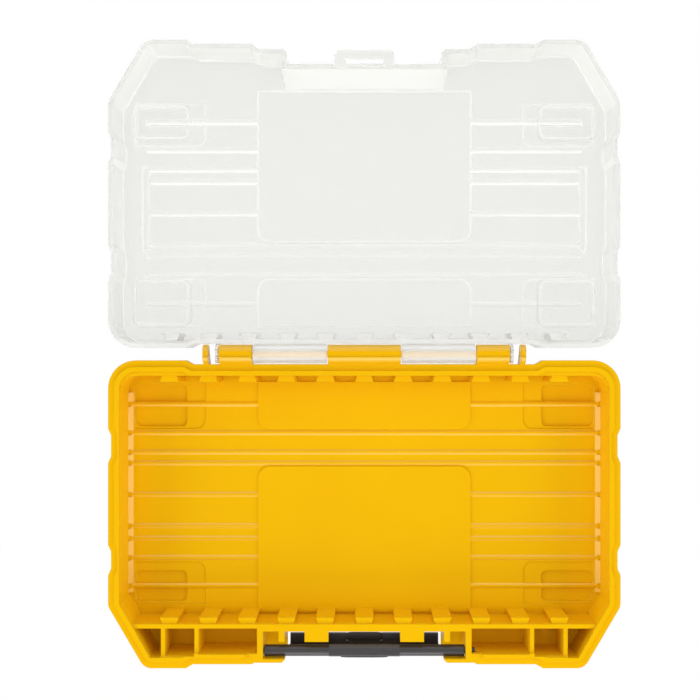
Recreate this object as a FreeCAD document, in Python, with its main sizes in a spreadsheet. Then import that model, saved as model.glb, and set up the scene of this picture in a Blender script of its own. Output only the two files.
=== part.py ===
import FreeCAD, Part
import math
import os
import sys
import Sketcher

# Bit case, open flat: +X right, lid towards +Y, base towards -Y, origin on the table under the hinge axis.
# "reach" is the distance from the hinge axis, so reach grows towards the latch on both halves.

sizes = {
    "half_width": 120.0,
    "notch_depth": 1.4,
    "back_guard": 3.0,
    "back_wall": 4.8,
    "front_guard": 147.2,
    "front_wall": 145.3,
    "front_centre": 144.6,
    "lid_front_centre": 144.2,
    "front_step_near": 51.5,
    "front_step_far": 52.8,
    "guard_inner": 82.0,
    "guard_slope": 3.3,
    "chamfer_side": 118.3,
    "chamfer_front": 103.0,
    "notch_a_near": 34.9,
    "notch_a_far": 51.1,
    "notch_b_near": 89.4,
    "notch_b_far": 103.7,
    "notch_slope": 3.2,
    "back_radius": 13.0,
    "chamfer_radius": 6.0,
    "hinge_height": 25.0,
    "rim_gap": 0.3,
    "foot_depth": 1.5,
    "floor_thick": 2.2,
    "flange_tall": 6.0,
    "wall_set": 2.2,
    "band_wide": 2.9,
    "lip_wide": 2.5,
    "lip_tall": 1.2,
    "lip_gap_half": 55.3,
    "hall_clip_side": 116.8,
    "hall_clip_front": 108.9,
    "rail_inner": 126.5,
    "rail_outer": 128.6,
    "recess_back": 130.0,
    "pocket_front": 140.4,
    "cell_front": 141.4,
    "corner_cell_near": 107.7,
    "corner_cell_far": 100.2,
    "corner_cell_front": 142.0,
    "cell_rib_a": 94.3,
    "cell_rib_b": 78.6,
    "cell_rib_thick": 2.0,
    "divider_inner": 47.5,
    "divider_outer": 50.3,
    "tooth_pitch": 18.3,
    "tooth_root": 6.6,
    "tooth_tip": 8.8,
    "tooth_deep": 2.9,
    "tooth_drop": 0.8,
    "lid_tooth_drop": 3.0,
    "relief": 0.7,
    "panel_half": 51.8,
    "panel_near": 54.6,
    "panel_far": 125.5,
    "panel_radius": 5.9,
    "hinge_panel_near": 13.4,
    "hinge_panel_far": 36.7,
    "rib_1": 24.3,
    "rib_2": 38.3,
    "rib_3": 47.7,
    "rib_4": 53.0,
    "rib_5": 68.3,
    "rib_6": 83.6,
    "rib_7": 89.7,
    "rib_8": 99.1,
    "rib_9": 112.8,
    "rib_foot": 2.6,
    "rib_top": 0.8,
    "rib_sink": 0.3,
    "strip_wide": 2.2,
    "strip_near": 18.5,
    "strip_far": 116.0,
    "strip_break": 2.4,
    "foot_inner": 84.6,
    "foot_outer": 113.0,
    "foot_back_near": 13.4,
    "foot_back_far": 36.9,
    "foot_front_near": 103.8,
    "foot_front_far": 122.0,
    "foot_wall": 1.8,
    "foot_radius": 4.3,
    "land_inner": 77.4,
    "land_outer": 111.5,
    "land_back_near": 14.0,
    "land_back_far": 36.3,
    "land_front_near": 101.3,
    "land_front_far": 121.5,
    "land_radius": 4.5,
    "land_deep": 0.4,
    "barrel_radius": 4.4,
    "barrel_groove": 3.4,
    "groove_floor": 2.4,
    "groove_deep": 0.9,
    "web_rise": 1.3,
    "web_foot": 8.8,
    "web_knee": 4.0,
    "web_knee_drop": 7.9,
    "hinge_pin_radius": 1.5,
    "press_play": 0.03,
    "running_play": 0.07,
    "knuckle_gap": 0.5,
    "centre_barrel": 17.0,
    "knuckle_end": 52.2,
    "outer_barrel_end": 67.8,
    "post_near": 72.9,
    "post_far": 75.3,
    "ear_thick": 1.2,
    "lid_wall": 2.2,
    "lid_floor": 1.9,
    "lid_recess_half": 36.3,
    "lid_post_half": 48.9,
    "lid_post_reach": 142.8,
    "lid_post_clip": 1.6,
    "lid_recess_rim": 135.8,
    "lid_recess_top": 131.2,
    "wedge_play": 0.1,
    "lid_panel_far": 128.0,
    "lid_rib_end": 106.0,
    "side_band_near": 104.7,
    "side_band_far": 108.0,
    "side_band_start": 50.0,
    "side_band_end": 91.0,
    "tab_half": 14.1,
    "tab_reach": 142.3,
    "tab_thick": 2.3,
    "tab_radius": 2.6,
    "slot_half": 8.8,
    "slot_near": 136.0,
    "slot_far": 138.6,
    "latch_reach": 139.8,
    "latch_height": 20.5,
    "latch_radius": 2.7,
    "latch_pin_radius": 1.5,
    "latch_half": 35.6,
    "latch_play": 0.4,
    "latch_plate": 2.2,
    "latch_long": 12.7,
    "window_half": 16.4,
    "window_near": 2.9,
    "window_far": 7.6,
    "finger_reach": 5.4,
    "finger_thick": 2.2,
    "finger_notch": 8.5,
    "block_half": 16.6,
    "block_tall": 3.1,
    "block_shoulder": 2.2,
    "block_crown": 1.6,
    "block_front": 2.4,
    "block_back": 2.6,
    "opening_half": 37.3,
    "bracket_outer": 40.2,
    "bracket_reach": 134.9,
    "shelf_near": 16.8,
    "shelf_far": 28.0,
    "shelf_thick": 3.4,
    "front_tab_back": 142.9,
    "tab_clip": 1.4,
    "pin_overhang": 1.7,
    "pin_set": 0.4,
    "latch_pin_start": 49.0,
}

doc = FreeCAD.newDocument("BitCase")
sheet = doc.addObject("Spreadsheet::Sheet", "Sizes")
for row, (alias, value) in enumerate(sizes.items(), start=1):
    sheet.set("A%d" % row, alias)
    sheet.set("B%d" % row, str(value))
    sheet.setAlias("B%d" % row, alias)
doc.recompute()


# A length that carries both its number and the sheet expression it came from.
class Span:
    def __init__(self, text, value):
        self.text = text
        self.value = value

    def joined(self, sign, other, value):
        return Span("(%s %s %s)" % (self.text, sign, other.text), value)

    def __add__(self, other):
        other = span(other)
        return self.joined("+", other, self.value + other.value)

    def __sub__(self, other):
        other = span(other)
        return self.joined("-", other, self.value - other.value)

    def __mul__(self, other):
        other = span(other)
        return self.joined("*", other, self.value * other.value)

    def __truediv__(self, other):
        other = span(other)
        return self.joined("/", other, self.value / other.value)

    def __neg__(self):
        return Span("(0 - %s)" % self.text, -self.value)


def span(item):
    if isinstance(item, Span):
        return item
    return Span("%.6f" % item, float(item))


def size(alias):
    return Span("Sizes.%s" % alias, sizes[alias])


def plane(body, role):
    return next(f for f in body.Origin.OriginFeatures if getattr(f, "Role", "") == role)


def newBody(label):
    body = doc.addObject("PartDesign::Body", label)
    body.Label = label
    return body


# A sketch on one of the body's own planes, moved along that plane's normal.
def newSketch(body, name, role, offset):
    sketch = body.newObject("Sketcher::SketchObject", name)
    sketch.AttachmentSupport = [(plane(body, role), "")]
    sketch.MapMode = "FlatFace"
    offset = span(offset)
    sketch.AttachmentOffset = FreeCAD.Placement(FreeCAD.Vector(0, 0, offset.value), FreeCAD.Rotation())
    sketch.setExpression("AttachmentOffset.Base.z", offset.text)
    return sketch


# The two ends of the round at a corner (x, y, radius), the round itself and where its centre is held.
def roundCorner(before, corner, after):
    x, y, radius = (span(item) for item in corner)
    ways = []
    for other in (before, after):
        way = FreeCAD.Vector(span(other[0]).value - x.value, span(other[1]).value - y.value, 0)
        ways.append(way.normalize())
    half = ways[0].getAngle(ways[1]) / 2
    back = 1.0 / math.tan(half)
    ends = [(x + radius * (way.x * back), y + radius * (way.y * back)) for way in ways]
    inward = (ways[0] + ways[1]).normalize()
    centre = FreeCAD.Vector(x.value, y.value, 0) + inward * (radius.value / math.sin(half))
    arms = [FreeCAD.Vector(a.value, b.value, 0) - centre for a, b in ends]
    ahead = arms[0].cross(arms[1]).z > 0
    angles = [math.atan2(arm.y, arm.x) for arm in (arms if ahead else arms[::-1])]
    if angles[1] < angles[0]:
        angles[1] += 2 * math.pi
    arc = Part.ArcOfCircle(Part.Circle(centre, FreeCAD.Vector(0, 0, 1), radius.value), *angles)
    axis = 0 if abs(inward.x) > abs(inward.y) else 1
    hub = (x, y)[axis] + radius * (inward[axis] / math.sin(half))
    return ends, arc, (("DistanceX", "DistanceY")[axis], hub, ahead)


# A sketch of closed loops. A corner (x, y) is sharp and (x, y, radius) is rounded, all tied to the sheet.
def loops(body, name, role, offset, corner_lists):
    sketch = newSketch(body, name, role, offset)
    ties = []
    for corners in corner_lists:
        count = len(corners)
        stops = []
        for k, corner in enumerate(corners):
            if len(corner) == 2:
                stops.append(([corner, corner], None, None))
            else:
                stops.append(roundCorner(corners[k - 1], corner, corners[(k + 1) % count]))
        rules = []
        first = sketch.GeometryCount
        lines = []
        for k in range(count):
            ends = (stops[k][0][1], stops[(k + 1) % count][0][0])
            points = [FreeCAD.Vector(span(a).value, span(b).value, 0) for a, b in ends]
            lines.append(Part.LineSegment(*points))
        sketch.addGeometry(lines, False)
        for k, (ends, arc, hub) in enumerate(stops):
            line, last = first + k, first + (k - 1) % count
            tied = [(line, 1, ends[1])]
            if arc is None:
                rules.append(Sketcher.Constraint("Coincident", last, 2, line, 1))
            else:
                index = sketch.addGeometry(arc, False)
                rules.append(Sketcher.Constraint("Coincident", last, 2, index, 1 if hub[2] else 2))
                rules.append(Sketcher.Constraint("Coincident", line, 1, index, 2 if hub[2] else 1))
                ties.append((sketch.ConstraintCount + len(rules), hub[1].text))
                rules.append(Sketcher.Constraint(hub[0], -1, 1, index, 3, hub[1].value))
                tied.append((last, 2, ends[0]))
            for geometry, end, (x, y) in tied:
                for kind, item in (("DistanceX", span(x)), ("DistanceY", span(y))):
                    ties.append((sketch.ConstraintCount + len(rules), item.text))
                    rules.append(Sketcher.Constraint(kind, -1, 1, geometry, end, item.value))
        sketch.addConstraint(rules)
    for number, text in ties:
        sketch.setExpression("Constraints[%d]" % number, text)
    return sketch


def circles(body, name, role, offset, rounds):
    sketch = newSketch(body, name, role, offset)
    for a, b, radius in rounds:
        a, b, radius = span(a), span(b), span(radius)
        centre = FreeCAD.Vector(a.value, b.value, 0)
        index = sketch.addGeometry(Part.Circle(centre, FreeCAD.Vector(0, 0, 1), radius.value), False)
        start = sketch.ConstraintCount
        sketch.addConstraint([
            Sketcher.Constraint("DistanceX", -1, 1, index, 3, a.value),
            Sketcher.Constraint("DistanceY", -1, 1, index, 3, b.value),
            Sketcher.Constraint("Radius", index, radius.value),
        ])
        for step, item in enumerate((a, b, radius)):
            sketch.setExpression("Constraints[%d]" % (start + step), item.text)
    return sketch


def extrude(body, kind, name, sketch, length, both=False, backwards=False):
    feature = body.newObject("PartDesign::" + kind, name)
    feature.Profile = sketch
    feature.Refine = False
    feature.AllowMultiFace = True
    length = span(length)
    feature.Length = length.value
    feature.setExpression("Length", length.text)
    if both:
        feature.SideType = "Symmetric"
    feature.Reversed = backwards
    before = body.Shape.Volume if not body.Shape.isNull() else 0.0
    doc.recompute()
    grew = body.Shape.Volume - before
    if (kind == "Pad" and grew <= 0) or (kind == "Pocket" and grew >= 0):
        sys.exit("%s in %s changed the volume by %.3f" % (name, body.Label, grew))
    return feature


def pad(body, name, role, offset, corner_lists, length, both=False, backwards=False):
    sketch = loops(body, name + "Sketch", role, offset, corner_lists)
    return extrude(body, "Pad", name, sketch, length, both, backwards)


def pocket(body, name, role, offset, corner_lists, length, both=False, backwards=False):
    sketch = loops(body, name + "Sketch", role, offset, corner_lists)
    return extrude(body, "Pocket", name, sketch, length, both, backwards)


def flipped(corners):
    return [(-span(corner[0]),) + tuple(corner[1:]) for corner in reversed(corners)]


# Both halves of a loop that is given for x > 0 only, mirrored about x = 0.
def mirrored(half):
    return list(half) + flipped(half)


def bothSides(corners):
    return [list(corners), flipped(corners)]


def rectangle(near_x, far_x, near_y, far_y):
    return [(near_x, near_y), (far_x, near_y), (far_x, far_y), (near_x, far_y)]


# Moves a loop inwards by a distance, each corner along its own mitre. Its rounds shrink as much.
def inset(corners, distance):
    count = len(corners)
    values = [(span(corner[0]).value, span(corner[1]).value) for corner in corners]
    area = sum(values[k - 1][0] * values[k][1] - values[k][0] * values[k - 1][1] for k in range(count))
    turn = math.copysign(1.0, area)
    moved = []
    for k, corner in enumerate(corners):
        normals = []
        for a, b in ((values[k - 1], values[k]), (values[k], values[(k + 1) % count])):
            run = math.hypot(b[0] - a[0], b[1] - a[1])
            normals.append(((a[1] - b[1]) / run * turn, (b[0] - a[0]) / run * turn))
        (ax, ay), (bx, by) = normals
        share = 1.0 + ax * bx + ay * by
        rest = [span(radius) - distance for radius in corner[2:]]
        moved.append((span(corner[0]) + distance * ((ax + bx) / share),
                      span(corner[1]) + distance * ((ay + by) / share), *rest))
    return moved


# The plan outline shared by both halves for x >= 0, from the hinge side to the front, without its middle.
def outlineHalf():
    half = size("half_width")
    shallow = half - size("notch_depth")
    slope = size("notch_slope")
    guard = size("guard_inner")
    corners = [
        (guard - size("guard_slope") / 2, size("back_wall")),
        (guard + size("guard_slope") / 2, size("back_guard")),
        (half, size("back_guard"), size("back_radius")),
        (half, size("notch_a_near")),
        (shallow, size("notch_a_near") + slope),
        (shallow, size("notch_a_far") - slope),
        (half, size("notch_a_far")),
        (half, size("notch_b_near")),
        (shallow, size("notch_b_near") + slope),
        (shallow, size("notch_b_far") - slope),
        (half, size("notch_b_far")),
        (half, size("chamfer_side"), size("chamfer_radius")),
        (size("chamfer_front"), size("front_guard"), size("chamfer_radius")),
        (guard + size("guard_slope") / 2, size("front_guard")),
        (guard - size("guard_slope") / 2, size("front_wall")),
    ]
    return corners


def outline(way, front):
    return mirrored([(corner[0], corner[1] * way, *corner[2:]) for corner in outlineHalf() + front])


hinge = size("hinge_height")
rim = hinge - size("rim_gap") / 2
foot = size("foot_depth")
floorTop = foot + size("floor_thick")
relief = size("relief")
baseWay = -1.0
lidWay = 1.0


# A raised form is sunk by seat into what carries it, and a cut runs past the faces it opens.
seat = 0.6
past = 1.0
same = 0.01
teethPerSide = 5
ribCount = 9


# The plan rectangle of a moulded form with all four corners rounded.
def rounded(near_x, far_x, near_y, far_y, radius):
    return [(x, y, radius) for x, y in rectangle(near_x, far_x, near_y, far_y)]


# Low panels and ribs on the floor of either half. The ribs are as tall as the panels and end in them.
def floorRelief(body, way, level, panel_far, rib_end):
    panel = size("panel_half")
    radius = size("panel_radius")
    flat = mirrored([
        (panel, size("panel_near") * way, radius),
        (panel, panel_far * way),
    ])
    pad(body, "CentrePanel", "XY_Plane", level, [flat], relief)
    near = mirrored([
        (panel, size("hinge_panel_near") * way),
        (panel, size("hinge_panel_far") * way, radius),
    ])
    pad(body, "HingePanel", "XY_Plane", level, [near], relief)
    ribs = []
    bottom = level - foot - size("rib_sink")
    half_foot = size("rib_foot") / 2
    half_top = size("rib_top") / 2
    for number in range(1, ribCount + 1):
        middle = size("rib_%d" % number) * way
        ribs.append([
            (middle - half_foot, bottom),
            (middle + half_foot, bottom),
            (middle + half_foot, level),
            (middle + half_top, level + relief),
            (middle - half_top, level + relief),
            (middle - half_foot, level),
        ])
    pad(body, "FloorRibs", "YZ_Plane", 0, ribs, rib_end * 2, both=True)


# A sloped strip along the foot of each side wall of the tray, broken where the ribs run into the wall.
def sideStrips(body, level, inner):
    strip = size("strip_wide")
    slope = [
        (inner - strip, level - seat),
        (inner + seat, level - seat),
        (inner + seat, level + strip + seat),
        (inner - strip, level),
    ]
    near = size("strip_near")
    pad(body, "SideStrips", "XZ_Plane", near, bothSides(slope), size("strip_far") - near)
    breaks = []
    half_break = size("strip_break") / 2
    for number in range(1, ribCount + 1):
        middle = size("rib_%d" % number) * baseWay
        breaks += bothSides(rectangle(inner - strip - past, inner, middle - half_break, middle + half_break))
    pocket(body, "StripBreaks", "XY_Plane", level + relief + strip + past, breaks, strip + past)


# Four feet on the underside, each with a shallow land and a deeper pocket above it.
def feet(body, way, level, thick):
    wall = size("foot_wall")
    radius = size("foot_radius")
    pads = []
    hollows = []
    for end in ("back", "front"):
        near = size("foot_%s_near" % end)
        far = size("foot_%s_far" % end)
        pads += bothSides(rounded(size("foot_inner"), size("foot_outer"), near * way, far * way, radius))
        hollow = rounded(size("foot_inner") + wall, size("foot_outer") - wall,
                         (near + wall) * way, (far - wall) * way, radius - wall)
        hollows += bothSides(hollow)
    land = size("land_inner")
    outer = size("land_outer")
    turn = size("land_radius")
    lands = bothSides([
        (land, size("land_back_near") * way),
        (outer, size("land_back_near") * way),
        (outer, size("land_back_far") * way),
        (land, size("land_back_far") * way, turn),
    ])
    lands += bothSides([
        (land, size("land_front_near") * way, turn),
        (outer, size("land_front_near") * way),
        (outer, size("land_front_far") * way),
        (land, size("land_front_far") * way),
    ])
    pad(body, "Feet", "XY_Plane", 0, pads, level)
    pocket(body, "FootLands", "XY_Plane", level + thick, lands, size("land_deep"))
    pocket(body, "FootPockets", "XY_Plane", level + thick, hollows, foot)


# Dovetail ribs on an inner wall: narrow at the wall, wide at the free end, the same number each side.
def teeth(body, name, way, root, towards, level, top):
    shapes = []
    for step in range(-teethPerSide, teethPerSide + 1):
        middle = size("tooth_pitch") * step
        free = (root + size("tooth_deep") * towards) * way
        held = (root - seat * towards) * way
        shapes.append([
            (middle - size("tooth_root") / 2, held),
            (middle + size("tooth_root") / 2, held),
            (middle + size("tooth_tip") / 2, free),
            (middle - size("tooth_tip") / 2, free),
        ])
    pad(body, name, "XY_Plane", level, shapes, top - level)


# A row of hinge barrels about the axis, webbed back to the half that carries them, with the gaps cut out.
def barrels(body, name, way, gaps, end, bore):
    radius = size("barrel_radius")
    wall = size("back_wall")
    drum = circles(body, name + "DrumSketch", "YZ_Plane", 0, [(0, hinge, radius)])
    extrude(body, "Pad", name + "Drum", drum, end * 2, both=True)
    web = [
        (span(0), hinge - radius),
        (span(0), hinge + size("web_rise")),
        (wall * way, rim),
        ((wall + seat) * way, rim),
        ((wall + seat) * way, hinge - size("web_foot")),
        (size("web_knee") * way, hinge - size("web_knee_drop")),
    ]
    pad(body, name + "Web", "YZ_Plane", 0, [web], end * 2, both=True)
    clear = []
    for near, far in gaps:
        sides = bothSides(rectangle(near, far, (radius + past) * -way, wall * way))
        clear += sides if span(near).value > 0 else sides[:1]
    top = hinge + radius
    pocket(body, name + "Gaps", "XY_Plane", top + past, clear, radius + size("web_foot") + past * 2)
    groove = size("barrel_groove") / 2
    groove_floor = size("groove_floor") / 2
    trough = [
        (-groove, top + past),
        (-groove_floor, top - size("groove_deep")),
        (groove_floor, top - size("groove_deep")),
        (groove, top + past),
    ]
    pocket(body, name + "Trough", "YZ_Plane", 0, [trough], end * 2, both=True)
    hole = circles(body, name + "BoreSketch", "YZ_Plane", 0, [(0, hinge, bore)])
    extrude(body, "Pocket", name + "Bore", hole, (end + past) * 2, both=True).Refine = True


def makeBase():
    body = newBody("base_tray")
    centre = [(size("front_step_far"), size("front_wall")),
              (size("front_step_near"), size("front_centre"))]
    plan = outline(baseWay, centre)
    slim = inset(plan, size("wall_set"))
    pad(body, "Shell", "XY_Plane", foot, [slim], rim - size("flange_tall") - foot)
    pad(body, "Flange", "XY_Plane", rim - size("flange_tall"), [plan], size("flange_tall"))

    # Inner lip on the rim, standing inside the lid's wall when the case is shut.
    wide = size("band_wide") + size("lip_wide")
    lip_out = inset(plan, size("band_wide"))
    lip_in = inset(plan, wide)
    top = rim + size("lip_tall")
    pad(body, "Lip", "XY_Plane", rim, [lip_out, lip_in], size("lip_tall"))
    gap = rectangle(-size("lip_gap_half"), size("lip_gap_half"), -size("rail_inner"), -size("front_guard"))
    pocket(body, "LipGap", "XY_Plane", top, [gap], size("lip_tall"))

    # Main cavity and the deep pockets along the front.
    inner = size("half_width") - wide
    hall = mirrored([
        (inner, -(size("back_wall") + wide), size("back_radius") - wide),
        (inner, -size("hall_clip_side")),
        (size("hall_clip_front"), -size("rail_inner")),
    ])
    pocket(body, "Cavity", "XY_Plane", top, [hall], top - floorTop)
    half_rib = size("cell_rib_thick") / 2
    cells = []
    cells += bothSides(rectangle(size("divider_outer"), size("cell_rib_b") - half_rib,
                                 -size("rail_outer"), -size("pocket_front")))
    cells += bothSides(rectangle(size("cell_rib_b") + half_rib, size("cell_rib_a") - half_rib,
                                 -size("rail_outer"), -size("cell_front")))
    corner = [
        (size("cell_rib_a") + half_rib, -size("rail_outer")),
        (size("corner_cell_near"), -size("rail_outer")),
        (size("corner_cell_far"), -size("corner_cell_front")),
        (size("cell_rib_a") + half_rib, -size("corner_cell_front")),
    ]
    cells += bothSides(corner)
    pocket(body, "FrontPockets", "XY_Plane", top, cells, top - floorTop)

    # Latch bay: open below and in front between the brackets, floored outside them.
    opening = size("opening_half")
    clip = size("tab_clip")
    bay = mirrored([
        (opening, -size("recess_back")),
        (opening, -(size("front_centre") - clip)),
        (opening + clip, -size("front_centre")),
        (opening + clip, -(size("front_guard") + past)),
    ])
    pocket(body, "LatchBay", "XY_Plane", top, [bay], top)
    side = bothSides(rectangle(size("bracket_outer"), size("divider_inner"),
                               -size("recess_back"), -size("front_tab_back")))
    pocket(body, "BaySides", "XY_Plane", top, side, top - floorTop)
    trim = bothSides(rectangle(opening - past, size("bracket_outer") + past,
                               -size("bracket_reach"), -size("front_tab_back")))
    pocket(body, "BracketEnds", "XY_Plane", top, trim, top - floorTop)
    shelves = bothSides(rectangle(size("shelf_near"), size("shelf_far"),
                                  -(size("recess_back") - seat), -size("bracket_reach")))
    pad(body, "Shelves", "XY_Plane", rim - size("shelf_thick"), shelves, size("shelf_thick"))
    pivot = [(-size("latch_reach"), size("latch_height"), size("latch_pin_radius") + size("press_play"))]
    hole = circles(body, "PivotHoleSketch", "YZ_Plane", -(size("divider_outer") + past), pivot)
    bore_run = size("divider_outer") * 2 + size("pin_overhang") + past * 2
    extrude(body, "Pocket", "PivotHoles", hole, bore_run, backwards=True)

    feet(body, baseWay, foot, size("floor_thick"))
    floorRelief(body, baseWay, floorTop, size("panel_far"), inner + seat)
    sideStrips(body, floorTop, inner)
    tooth_top = rim - size("tooth_drop")
    teeth(body, "BackTeeth", baseWay, size("back_wall") + wide, 1.0, floorTop, tooth_top)
    teeth(body, "FrontTeeth", baseWay, size("rail_inner"), -1.0, floorTop, tooth_top)

    half_gap = size("knuckle_gap") / 2
    gaps = [
        (size("centre_barrel"), size("knuckle_end") + half_gap),
        (size("outer_barrel_end"), size("post_near")),
    ]
    barrels(body, "Barrel", baseWay, gaps, size("post_far"), size("hinge_pin_radius") + size("press_play"))
    return body


def makeLid():
    body = newBody("lid_shell")
    recess = size("lid_recess_half")
    clip = size("lid_post_clip")
    centre = [
        (size("front_step_far"), size("front_wall")),
        (size("front_step_near"), size("lid_front_centre")),
        (size("lid_post_half"), size("lid_post_reach")),
        (recess + clip, size("lid_post_reach")),
        (recess, size("lid_post_reach") - clip),
        (recess, size("lid_recess_rim")),
    ]
    plan = outline(lidWay, centre)
    floor_top = foot + size("lid_floor")
    pad(body, "Shell", "XY_Plane", foot, [plan], rim - foot)

    # The front recess leans back from the rim to the top panel.
    lean = [
        (size("lid_recess_rim"), rim),
        (size("front_guard") + past, rim),
        (size("front_guard") + past, foot - past),
        (size("lid_recess_top"), foot - past),
    ]
    pocket(body, "RecessLean", "YZ_Plane", 0, [lean], recess * 2, both=True)
    wall = size("lid_wall")
    hollow = inset(plan, wall)
    shift = size("lid_recess_rim") - size("lid_recess_top")
    lowered = []
    for x, y, *rest in hollow:
        deep = abs(y.value - (size("lid_recess_rim") - wall).value) < same
        lowered.append((x, y - shift if deep else y, *rest))
    pocket(body, "Cavity", "XY_Plane", rim, [lowered], rim - floor_top)
    wedge = [
        (size("lid_recess_top") - wall - past, rim + past),
        (size("lid_recess_rim") - wall, rim + past),
        (size("lid_recess_top") - wall, floor_top),
        (size("lid_recess_top") - wall - past, floor_top),
    ]
    inside = (recess + wall - size("wedge_play")) * 2
    pocket(body, "RecessInside", "YZ_Plane", 0, [wedge], inside, both=True)

    # Hasp tab with its slot, level with the rim.
    tab = mirrored([
        (size("tab_half"), size("lid_recess_rim") - seat * 2),
        (size("tab_half"), size("tab_reach"), size("tab_radius")),
    ])
    pad(body, "Tab", "XY_Plane", rim - size("tab_thick"), [tab], size("tab_thick"))
    slot = rectangle(-size("slot_half"), size("slot_half"), size("slot_near"), size("slot_far"))
    pocket(body, "TabSlot", "XY_Plane", rim + past, [slot], size("tab_thick") + past * 2)

    feet(body, lidWay, foot, size("lid_floor"))
    floorRelief(body, lidWay, floor_top, size("lid_panel_far"), size("lid_rib_end"))
    bands = rectangle(size("side_band_near"), size("side_band_far"),
                      size("side_band_start") * lidWay, size("side_band_end") * lidWay)
    pad(body, "SideBands", "XY_Plane", floor_top, bothSides(bands), relief)
    teeth(body, "BackTeeth", lidWay, size("back_wall") + wall, 1.0, floor_top, rim - size("lid_tooth_drop"))

    half_gap = size("knuckle_gap") / 2
    ear = size("outer_barrel_end") + size("knuckle_gap")
    middle = size("centre_barrel") + size("knuckle_gap")
    gaps = [(-middle, middle), (size("knuckle_end") - half_gap, ear)]
    barrels(body, "Knuckle", lidWay, gaps, ear + size("ear_thick"),
            size("hinge_pin_radius") + size("running_play"))
    return body


def makeLatch():
    body = newBody("latch_bar")
    reach = -size("latch_reach")
    height = size("latch_height")
    half = size("latch_half")
    thick = size("latch_plate") / 2
    long_half = size("divider_inner") - size("latch_play")
    drum = circles(body, "DrumSketch", "YZ_Plane", 0, [(reach, height, size("latch_radius"))])
    extrude(body, "Pad", "Drum", drum, long_half * 2, both=True)
    low = height - size("latch_long")
    plate = rectangle(reach - thick, reach + thick, low, height)
    pad(body, "Plate", "YZ_Plane", 0, [plate], half * 2, both=True)
    finger = rectangle(reach, reach + size("finger_reach"), low, low + size("finger_thick"))
    pad(body, "Finger", "YZ_Plane", 0, [finger], half * 2, both=True)
    window = rectangle(-size("window_half"), size("window_half"),
                       height - size("window_far"), height - size("window_near"))
    pocket(body, "Window", "XZ_Plane", -reach, [window], (thick + past) * 2, both=True)
    notch = rectangle(-size("finger_notch"), size("finger_notch"), low - past, low + size("finger_thick"))
    pocket(body, "FingerNotch", "XZ_Plane", -(reach + thick + seat), [notch], size("finger_reach") + past)
    shoulder = height + size("block_shoulder")
    crown = height + size("block_tall")
    block = [
        (reach - size("block_front"), height),
        (reach + size("block_back"), height),
        (reach + size("block_back"), shoulder),
        (reach + size("block_crown"), crown),
        (reach - size("block_crown"), crown),
        (reach - size("block_front"), shoulder),
    ]
    pad(body, "Block", "YZ_Plane", 0, [block], size("block_half") * 2, both=True)
    bore = [(reach, height, size("latch_pin_radius") + size("running_play"))]
    hole = circles(body, "BoreSketch", "YZ_Plane", 0, bore)
    extrude(body, "Pocket", "Bore", hole, (long_half + past) * 2, both=True)
    return body


def makePin(label, start, end, reach, height, radius):
    body = newBody(label)
    rod = circles(body, "RodSketch", "YZ_Plane", start, [(reach, height, radius)])
    extrude(body, "Pad", "Rod", rod, span(end) - start)
    return body


bodies = [makeBase(), makeLid(), makeLatch()]
pin_end = size("outer_barrel_end") - size("pin_set")
bodies.append(makePin("hinge_pin", -pin_end, pin_end, 0, hinge, size("hinge_pin_radius")))
bodies.append(makePin("latch_pin", -size("latch_pin_start"), size("divider_outer") + size("pin_overhang"),
                      -size("latch_reach"), size("latch_height"), size("latch_pin_radius")))
doc.recompute()

for item in doc.Objects:
    if "Invalid" in item.State or "Error" in item.State:
        sys.exit("failed object: %s" % item.Name)
for body in bodies:
    if body.Shape.isNull() or not body.Shape.isValid() or len(body.Shape.Solids) != 1:
        sys.exit("bad shape: %s with %d solids" % (body.Label, len(body.Shape.Solids)))

os.makedirs("parts", exist_ok=True)
for body in bodies:
    body.Shape.exportStep("parts/%s.step" % body.Label)
    box = body.Shape.BoundBox
    print("%s volume %.0f faces %d box %.1f %.1f %.1f to %.1f %.1f %.1f" % (
        body.Label, body.Shape.Volume, len(body.Shape.Faces),
        box.XMin, box.YMin, box.ZMin, box.XMax, box.YMax, box.ZMax))
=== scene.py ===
import bpy
import math
import numpy as np
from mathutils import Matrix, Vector


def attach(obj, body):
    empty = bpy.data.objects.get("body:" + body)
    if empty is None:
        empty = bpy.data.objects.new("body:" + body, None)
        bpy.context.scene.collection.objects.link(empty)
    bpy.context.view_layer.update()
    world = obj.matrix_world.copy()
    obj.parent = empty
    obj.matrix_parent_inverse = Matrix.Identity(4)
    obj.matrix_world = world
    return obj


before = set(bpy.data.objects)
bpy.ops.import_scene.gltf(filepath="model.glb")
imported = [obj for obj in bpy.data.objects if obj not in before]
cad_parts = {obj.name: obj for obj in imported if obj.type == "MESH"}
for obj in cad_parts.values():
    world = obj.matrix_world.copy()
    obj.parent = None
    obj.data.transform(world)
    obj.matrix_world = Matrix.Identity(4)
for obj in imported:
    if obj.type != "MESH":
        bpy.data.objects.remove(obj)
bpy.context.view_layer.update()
print("case loaded:", ", ".join(sorted(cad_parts)))

scene = bpy.context.scene
scene.view_settings.view_transform = "Standard"


def linear(hexColour):
    # sRGB hex to linear light: a straight piece near black, a 2.4 power above it
    code = np.array([int(hexColour[i:i + 2], 16) for i in (1, 3, 5)]) / 255
    light = np.where(code <= 0.04045, code / 12.92, ((code + 0.055) / 1.055) ** 2.4)
    return (*light.tolist(), 1.0)


def perMetre(sizeMm):
    # a noise of scale s has spots about 1/s metres wide
    return 1000 / sizeMm


def addNode(tree, kind, settings=None, links=None):
    # settings go to input sockets by name or number, or else to the node's own properties
    node = tree.nodes.new(kind)
    for name, value in (settings or {}).items():
        if isinstance(name, int) or name in node.inputs:
            node.inputs[name].default_value = value
        else:
            setattr(node, name, value)
    for name, source in (links or {}).items():
        tree.links.new(source, node.inputs[name])
    return node


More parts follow.
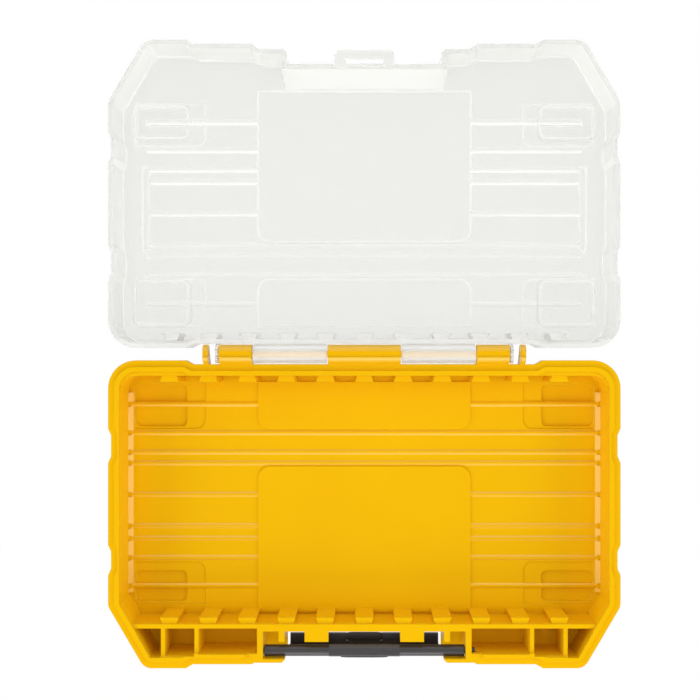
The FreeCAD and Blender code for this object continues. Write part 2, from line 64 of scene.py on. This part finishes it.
def newFinish(name):
    finish = bpy.data.materials.new(name)
    finish.use_nodes = True
    finish.node_tree.nodes.clear()
    return finish, finish.node_tree


def dress(nodeName, finish):
    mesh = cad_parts[nodeName].data
    mesh.materials.clear()
    mesh.materials.append(finish)


# refraction of polypropylene, the plastic of the tray, the lid and the latch
plasticBend = 1.49

# tray: polypropylene, injection moulded in a spark-eroded tool: an even satin with a fine grain
traySet = {
    "colour": "#E5B200", "shade": "#E1AC00",
    "litWallColour": "#EFBE00",  # upright faces: painted light, a lighter yellow in place of the side light on the walls; they are drawn along the tool, so smoother
    # slow drift of the pigment over 60 mm, and where it runs from shade to colour
    "flow": {"Scale": perMetre(60), "Detail": 3.0, "Roughness": 0.5},
    "drift": {"From Min": 0.25, "From Max": 0.75},
    # real grain 0.3 mm, drawn at 0.9 mm so that it shows
    "grain": {"Scale": perMetre(0.9), "Detail": 2.0, "Roughness": 0.55},
    "gloss": {"To Min": 0.3, "To Max": 0.42},
    "bump": {"Strength": 0.35, "Distance": 0.00002},
    "edge": {"samples": 6, "Radius": 0.0006},  # the small radius that the mould leaves
    # by the normal's height: 0 on a flat or a rib, 1 on an upright face
    "upright": {"From Min": 0.35, "From Max": 0.15},
    # by the same: the flats are dull, slopes and walls shine
    "polish": {"From Min": 0.97, "From Max": 0.8, "To Min": 0.05, "To Max": 0.75},
}


def yellowPolypropylene(have):
    finish, tree = newFinish("moulded yellow polypropylene")
    place = addNode(tree, "ShaderNodeTexCoord")
    flow = addNode(tree, "ShaderNodeTexNoise", have["flow"], {"Vector": place.outputs["Object"]})
    drift = addNode(tree, "ShaderNodeMapRange", have["drift"], {"Value": flow.outputs["Fac"]})
    tint = addNode(tree, "ShaderNodeMixRGB",
                   {"Color1": linear(have["shade"]), "Color2": linear(have["colour"])},
                   {"Fac": drift.outputs["Result"]})
    grain = addNode(tree, "ShaderNodeTexNoise", have["grain"], {"Vector": place.outputs["Object"]})
    gloss = addNode(tree, "ShaderNodeMapRange", have["gloss"], {"Value": grain.outputs["Fac"]})
    edge = addNode(tree, "ShaderNodeBevel", have["edge"])
    bump = addNode(tree, "ShaderNodeBump", have["bump"],
                   {"Height": grain.outputs["Fac"], "Normal": edge.outputs["Normal"]})
    lean = addNode(tree, "ShaderNodeSeparateXYZ", None, {"Vector": place.outputs["Normal"]})
    level = addNode(tree, "ShaderNodeMath", {"operation": "ABSOLUTE"}, {0: lean.outputs["Z"]})
    wall = addNode(tree, "ShaderNodeMapRange", have["upright"], {"Value": level.outputs[0]})
    # painted light: upright faces take the lighter wall colour, which stands in for the side light
    # on the walls
    drawn = addNode(tree, "ShaderNodeMixRGB", {"Color2": linear(have["litWallColour"])},
                    {"Fac": wall.outputs["Result"], "Color1": tint.outputs["Color"]})
    polish = addNode(tree, "ShaderNodeMapRange", have["polish"], {"Value": level.outputs[0]})
    skin = addNode(tree, "ShaderNodeBsdfPrincipled", {"IOR": plasticBend},
                   {"Base Color": drawn.outputs["Color"],
                    "Roughness": gloss.outputs["Result"],
                    "Specular IOR Level": polish.outputs["Result"],
                    "Normal": bump.outputs["Normal"]})
    addNode(tree, "ShaderNodeOutputMaterial", None, {"Surface": skin.outputs["BSDF"]})
    return finish


dress("base_tray", yellowPolypropylene(traySet))
print("tray dressed")

# lid: clarified polypropylene, moulded: see-through with a faint milk, and pale edges that are
# partly painted highlight
lidSet = {
    "colour": "#E9E9E6", "milkAndHighlightColour": "#FCFCFA",
    # from no milk to full milk, which scatters and so looks white
    "clear": {"To Min": 0.92, "To Max": 0.35},
    # a lamp's light passes through, so the lid casts a faint shadow
    "shadow": {"To Min": 1.0, "To Max": 0.35},
    # faint sink waves of a thin moulded sheet, 9 mm long
    "ripple": {"Scale": perMetre(9), "Detail": 2.0, "Roughness": 0.4},
    "haze": {"To Min": 0.14, "To Max": 0.22},
    "bump": {"Strength": 0.2, "Distance": 0.00003},
    # milk along an edge, partly a painted highlight for the bright lines along clear edges, by how
    # far the bevelled normal turns; by height, less on the clear rim
    "edge": {"samples": 8, "Radius": 0.0016},
    "turn": {"From Min": 0.999, "From Max": 0.95},
    "edgeShare": {"From Min": 0.018, "From Max": 0.022, "To Min": 0.55, "To Max": 0.12},
    # milk on an upright wall, seen along its depth; less on its outer side than on its inner one
    "upright": {"From Min": 0.8, "From Max": 0.3},
    "middle": (0.0, 0.07, 0.012),
    "wallShare": {"From Min": -0.01, "From Max": 0.01, "To Min": 0.75, "To Max": 0.35},
    # milk in the solid knuckles, which lie this near the hinge line
    "knuckle": {"From Min": 0.0071, "From Max": 0.0068, "To Max": 0.35},
}


def clearPolypropylene(have):
    finish, tree = newFinish("moulded clear polypropylene")
    place = addNode(tree, "ShaderNodeTexCoord")
    ripple = addNode(tree, "ShaderNodeTexNoise", have["ripple"],
                     {"Vector": place.outputs["Object"]})
    haze = addNode(tree, "ShaderNodeMapRange", have["haze"], {"Value": ripple.outputs["Fac"]})
    bump = addNode(tree, "ShaderNodeBump", have["bump"], {"Height": ripple.outputs["Fac"]})
    spot = addNode(tree, "ShaderNodeSeparateXYZ", None, {"Vector": place.outputs["Object"]})
    lean = addNode(tree, "ShaderNodeSeparateXYZ", None, {"Vector": place.outputs["Normal"]})

    edge = addNode(tree, "ShaderNodeBevel", have["edge"])
    face = addNode(tree, "ShaderNodeNewGeometry")
    turn = addNode(tree, "ShaderNodeVectorMath", {"operation": "DOT_PRODUCT"},
                   {0: edge.outputs["Normal"], 1: face.outputs["Normal"]})
    edgeShare = addNode(tree, "ShaderNodeMapRange", have["edgeShare"],
                        {"Value": spot.outputs["Z"]})
    near = addNode(tree, "ShaderNodeMapRange", have["turn"],
                   {"Value": turn.outputs["Value"], "To Max": edgeShare.outputs["Result"]})

    level = addNode(tree, "ShaderNodeMath", {"operation": "ABSOLUTE"}, {0: lean.outputs["Z"]})
    reach = addNode(tree, "ShaderNodeVectorMath", {"operation": "SUBTRACT", 1: have["middle"]},
                    {0: place.outputs["Object"]})
    outward = addNode(tree, "ShaderNodeVectorMath", {"operation": "DOT_PRODUCT"},
                      {0: place.outputs["Normal"], 1: reach.outputs["Vector"]})
    wallShare = addNode(tree, "ShaderNodeMapRange", have["wallShare"],
                        {"Value": outward.outputs["Value"]})
    wall = addNode(tree, "ShaderNodeMapRange", have["upright"],
                   {"Value": level.outputs[0], "To Max": wallShare.outputs["Result"]})

    aside = addNode(tree, "ShaderNodeMath", {"operation": "ABSOLUTE"}, {0: spot.outputs["Y"]})
    solid = addNode(tree, "ShaderNodeMapRange", have["knuckle"], {"Value": aside.outputs[0]})

    most = addNode(tree, "ShaderNodeMath", {"operation": "MAXIMUM"},
                   {0: near.outputs["Result"], 1: wall.outputs["Result"]})
    milkAndEdgeHighlight = addNode(tree, "ShaderNodeMath", {"operation": "MAXIMUM"},
                   {0: most.outputs[0], 1: solid.outputs["Result"]})
    # painted highlight in part: the edges take the pale milk colour as bright lines
    tint = addNode(tree, "ShaderNodeMixRGB",
                   {"Color1": linear(have["colour"]), "Color2": linear(have["milkAndHighlightColour"])},
                   {"Fac": milkAndEdgeHighlight.outputs[0]})
    clear = addNode(tree, "ShaderNodeMapRange", have["clear"], {"Value": milkAndEdgeHighlight.outputs[0]})
    ray = addNode(tree, "ShaderNodeLightPath")
    shadow = addNode(tree, "ShaderNodeMapRange", have["shadow"],
                     {"Value": ray.outputs["Is Shadow Ray"]})
    skin = addNode(tree, "ShaderNodeBsdfPrincipled", {"IOR": plasticBend},
                   {"Base Color": tint.outputs["Color"],
                    "Transmission Weight": clear.outputs["Result"],
                    "Roughness": haze.outputs["Result"],
                    "Normal": bump.outputs["Normal"],
                    "Alpha": shadow.outputs["Result"]})
    addNode(tree, "ShaderNodeOutputMaterial", None, {"Surface": skin.outputs["BSDF"]})
    return finish


dress("lid_shell", clearPolypropylene(lidSet))
print("lid dressed")

# latch: carbon-black polypropylene, moulded satin: near black with a soft grey sheen
latchSet = {
    "colour": "#343031", "shade": "#2B2728",
    # real grain 0.25 mm, drawn at 0.8 mm so that it shows
    "grain": {"Scale": perMetre(0.8), "Detail": 2.0, "Roughness": 0.5},
    "drift": {"From Min": 0.3, "From Max": 0.7},
    "gloss": {"To Min": 0.28, "To Max": 0.4},
    "bump": {"Strength": 0.3, "Distance": 0.00002},
    "edge": {"samples": 6, "Radius": 0.00025},
}


def blackPolypropylene(have):
    finish, tree = newFinish("moulded black polypropylene")
    place = addNode(tree, "ShaderNodeTexCoord")
    grain = addNode(tree, "ShaderNodeTexNoise", have["grain"], {"Vector": place.outputs["Object"]})
    drift = addNode(tree, "ShaderNodeMapRange", have["drift"], {"Value": grain.outputs["Fac"]})
    tint = addNode(tree, "ShaderNodeMixRGB",
                   {"Color1": linear(have["shade"]), "Color2": linear(have["colour"])},
                   {"Fac": drift.outputs["Result"]})
    gloss = addNode(tree, "ShaderNodeMapRange", have["gloss"], {"Value": grain.outputs["Fac"]})
    edge = addNode(tree, "ShaderNodeBevel", have["edge"])
    bump = addNode(tree, "ShaderNodeBump", have["bump"],
                   {"Height": grain.outputs["Fac"], "Normal": edge.outputs["Normal"]})
    skin = addNode(tree, "ShaderNodeBsdfPrincipled", {"IOR": plasticBend},
                   {"Base Color": tint.outputs["Color"],
                    "Roughness": gloss.outputs["Result"],
                    "Normal": bump.outputs["Normal"]})
    addNode(tree, "ShaderNodeOutputMaterial", None, {"Surface": skin.outputs["BSDF"]})
    return finish


latchFinish = blackPolypropylene(latchSet)
dress("latch_bar", latchFinish)
dress("latch_pin", latchFinish)
print("latch dressed")


def softBlock(name, have, finish, body, rings=24, around=32):
    # a superellipsoid: signed powers of sine and cosine over latitude u and longitude v,
    # closed by two poles
    def bend(wave):
        return np.sign(wave) * np.abs(wave) ** (2 / have["power"])

    u = np.linspace(-np.pi / 2, np.pi / 2, rings + 2)[1:-1, None]
    v = np.linspace(0, 2 * np.pi, around, endpoint=False)[None, :]
    x = bend(np.sin(u)) * np.ones_like(v)
    y = bend(np.cos(u)) * bend(np.cos(v))
    z = bend(np.cos(u)) * bend(np.sin(v))
    shell = np.stack([x, y, z], axis=-1).reshape(-1, 3)
    points = np.vstack([shell, [(-1, 0, 0), (1, 0, 0)]])
    points = points * np.array(have["half"]) + np.array(have["middle"])

    row = np.arange(rings - 1)[:, None] * around
    first = np.arange(around)
    following = (first + 1) % around
    here = row + first
    after = row + following
    quads = np.stack([here, after, after + around, here + around], axis=-1).reshape(-1, 4)
    last = (rings - 1) * around
    low = np.column_stack([following, first, np.full(around, len(shell))])
    high = np.column_stack([first + last, following + last, np.full(around, len(shell) + 1)])

    mesh = bpy.data.meshes.new(name)
    mesh.from_pydata(points.tolist(), [], quads.tolist() + low.tolist() + high.tolist())
    mesh.polygons.foreach_set("use_smooth", np.ones(len(mesh.polygons), dtype=bool))
    mesh.materials.append(finish)
    block = bpy.data.objects.new(name, mesh)
    scene.collection.objects.link(block)
    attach(block, body)


# a black sheet across the finger notch, painted shade where the notch shows its dark inside, and
# the small lip on the block's front, sizes in metres
notchShadeSet = {"half": (0.0087, 0.002, 0.0008), "middle": (0.0, -0.13615, 0.0088), "power": 7}
lipSet = {"half": (0.0112, 0.0006, 0.0011), "middle": (0.0, -0.14235, 0.0212), "power": 5}
softBlock("latch_notch_shade_sheet", notchShadeSet, latchFinish, "latch")
softBlock("latch_block_lip", lipSet, latchFinish, "latch")
# the latch web is the black sheet of painted shade in the finger notch
print("latch web and lip added")

# hinge pin: drawn steel wire under a thin zinc coat, with fine lines along its length; its pale
# yellow is partly the coat's tint and partly a painted reflection of the yellow tray, seen through
# the clear knuckles
pinSet = {
    # pale yellow: the zinc coat's tint, deepened as a painted reflection of the yellow tray
    "colour": "#F8CC50", "shade": "#F0C040",
    "along": {"Scale": (0.02, 1.0, 1.0)},  # stretched along the wire
    "lines": {"Scale": perMetre(0.25), "Detail": 2.0, "Roughness": 0.5},
    "drift": {"From Min": 0.3, "From Max": 0.7},
    "gloss": {"To Min": 0.22, "To Max": 0.36},
    "edge": {"samples": 6, "Radius": 0.0002},
    "coat": {"Metallic": 0.3},
}


def drawnSteel(have):
    finish, tree = newFinish("drawn steel wire")
    place = addNode(tree, "ShaderNodeTexCoord")
    along = addNode(tree, "ShaderNodeMapping", have["along"], {"Vector": place.outputs["Object"]})
    lines = addNode(tree, "ShaderNodeTexNoise", have["lines"], {"Vector": along.outputs["Vector"]})
    drift = addNode(tree, "ShaderNodeMapRange", have["drift"], {"Value": lines.outputs["Fac"]})
    tint = addNode(tree, "ShaderNodeMixRGB",
                   {"Color1": linear(have["shade"]), "Color2": linear(have["colour"])},
                   {"Fac": drift.outputs["Result"]})
    gloss = addNode(tree, "ShaderNodeMapRange", have["gloss"], {"Value": lines.outputs["Fac"]})
    edge = addNode(tree, "ShaderNodeBevel", have["edge"])
    skin = addNode(tree, "ShaderNodeBsdfPrincipled", have["coat"],
                   {"Base Color": tint.outputs["Color"],
                    "Roughness": gloss.outputs["Result"],
                    "Normal": edge.outputs["Normal"]})
    addNode(tree, "ShaderNodeOutputMaterial", None, {"Surface": skin.outputs["BSDF"]})
    return finish


dress("hinge_pin", drawnSteel(pinSet))
print("hinge pin dressed")

# table: white and lit, with most of its look fixed at white for the eye, a mirror or clear plastic
tableSet = {"reach": 2.5, "height": -0.0002, "colour": "#F2F2F1", "white": 0.99}


def seenDirectly(tree):
    # 1 for a ray from the eye, a mirror or clear plastic, 0 for one that only lights
    ray = addNode(tree, "ShaderNodeLightPath")
    seen = addNode(tree, "ShaderNodeMath", {"operation": "ADD"},
                   {0: ray.outputs["Is Camera Ray"], 1: ray.outputs["Is Glossy Ray"]})
    through = addNode(tree, "ShaderNodeMath", {"operation": "ADD", "use_clamp": True},
                      {0: seen.outputs[0], 1: ray.outputs["Is Transmission Ray"]})
    return through.outputs[0]


def whiteTable(have):
    finish, tree = newFinish("white table")
    share = addNode(tree, "ShaderNodeMath", {"operation": "MULTIPLY", 1: have["white"]},
                    {0: seenDirectly(tree)})
    plain = addNode(tree, "ShaderNodeBsdfDiffuse", {"Color": linear(have["colour"])})
    white = addNode(tree, "ShaderNodeEmission", {"Strength": 1.0})
    both = addNode(tree, "ShaderNodeMixShader", None,
                   {0: share.outputs[0], 1: plain.outputs[0], 2: white.outputs[0]})
    addNode(tree, "ShaderNodeOutputMaterial", None, {"Surface": both.outputs[0]})
    return finish


def flatSheet(name, reach, height):
    # corners at plus and minus reach in x and y, all at one height
    corner = np.array([(-1, -1), (1, -1), (1, 1), (-1, 1)]) * reach
    points = np.column_stack([corner, np.full(4, height)])
    mesh = bpy.data.meshes.new(name)
    mesh.from_pydata(points.tolist(), [], [(0, 1, 2, 3)])
    sheet = bpy.data.objects.new(name, mesh)
    scene.collection.objects.link(sheet)
    return sheet


table = flatSheet("table", tableSet["reach"], tableSet["height"])
table.data.materials.append(whiteTable(tableSet))

# light: an even pale room, a large soft lamp on each side, the front one strongest, and a weak one
# above that no mirror sees, so that the flats keep their colour
lightSet = {
    "room": {"To Min": 0.41, "To Max": 1.0},
    "lampSize": 0.9, "aim": (0.0, -0.02, 0.0),
    "lamps": {"left": (7.4, (-1.1, -0.02, 0.6)), "right": (7.2, (1.1, -0.02, 0.6)),
              "front": (8.0, (0.0, -1.1, 0.6)), "back": (3.0, (0.0, 1.05, 0.6)),
              "top": (2.8, (0.0, -0.02, 1.3))},
}


def paleRoom(have):
    # grey for what it lights, white where it is seen
    room = bpy.data.worlds.new("pale room")
    room.use_nodes = True
    tree = room.node_tree
    tree.nodes.clear()
    strength = addNode(tree, "ShaderNodeMapRange", have["room"], {"Value": seenDirectly(tree)})
    sky = addNode(tree, "ShaderNodeBackground", {"Color": (1.0, 1.0, 1.0, 1.0)},
                  {"Strength": strength.outputs["Result"]})
    addNode(tree, "ShaderNodeOutputWorld", None, {"Surface": sky.outputs["Background"]})
    return room


scene.world = paleRoom(lightSet)


def softLamp(name, power, at, have):
    lamp = bpy.data.lights.new(name, "AREA")
    lamp.energy = power
    lamp.size = have["lampSize"]
    holder = bpy.data.objects.new(name, lamp)
    holder.location = at
    way = Vector(have["aim"]) - Vector(at)
    holder.rotation_euler = way.to_track_quat("-Z", "Y").to_euler()
    scene.collection.objects.link(holder)
    return holder


for side, (power, at) in lightSet["lamps"].items():
    softLamp(side + " lamp", power, at, lightSet).visible_glossy = side != "top"
print("table and light set")

# camera: straight down over the hinge, with the photo's framing
cameraSet = {
    "height": 0.55, "halfAngle": 17.335, "sensor": 36.0, "nearest": 0.01,
    "axisAt": (364.3, 354.0), "frame": 700,  # the pixel straight below, and the photo's width
}

lens = bpy.data.cameras.new("camera")
lens.sensor_width = cameraSet["sensor"]
lens.lens = lens.sensor_width / 2 / math.tan(math.radians(cameraSet["halfAngle"]))
lens.shift_x = 0.5 - cameraSet["axisAt"][0] / cameraSet["frame"]
lens.shift_y = cameraSet["axisAt"][1] / cameraSet["frame"] - 0.5
lens.clip_start = cameraSet["nearest"]
eye = bpy.data.objects.new("camera", lens)
eye.location = (0.0, 0.0, cameraSet["height"])
scene.collection.objects.link(eye)
scene.camera = eye
print("camera set")
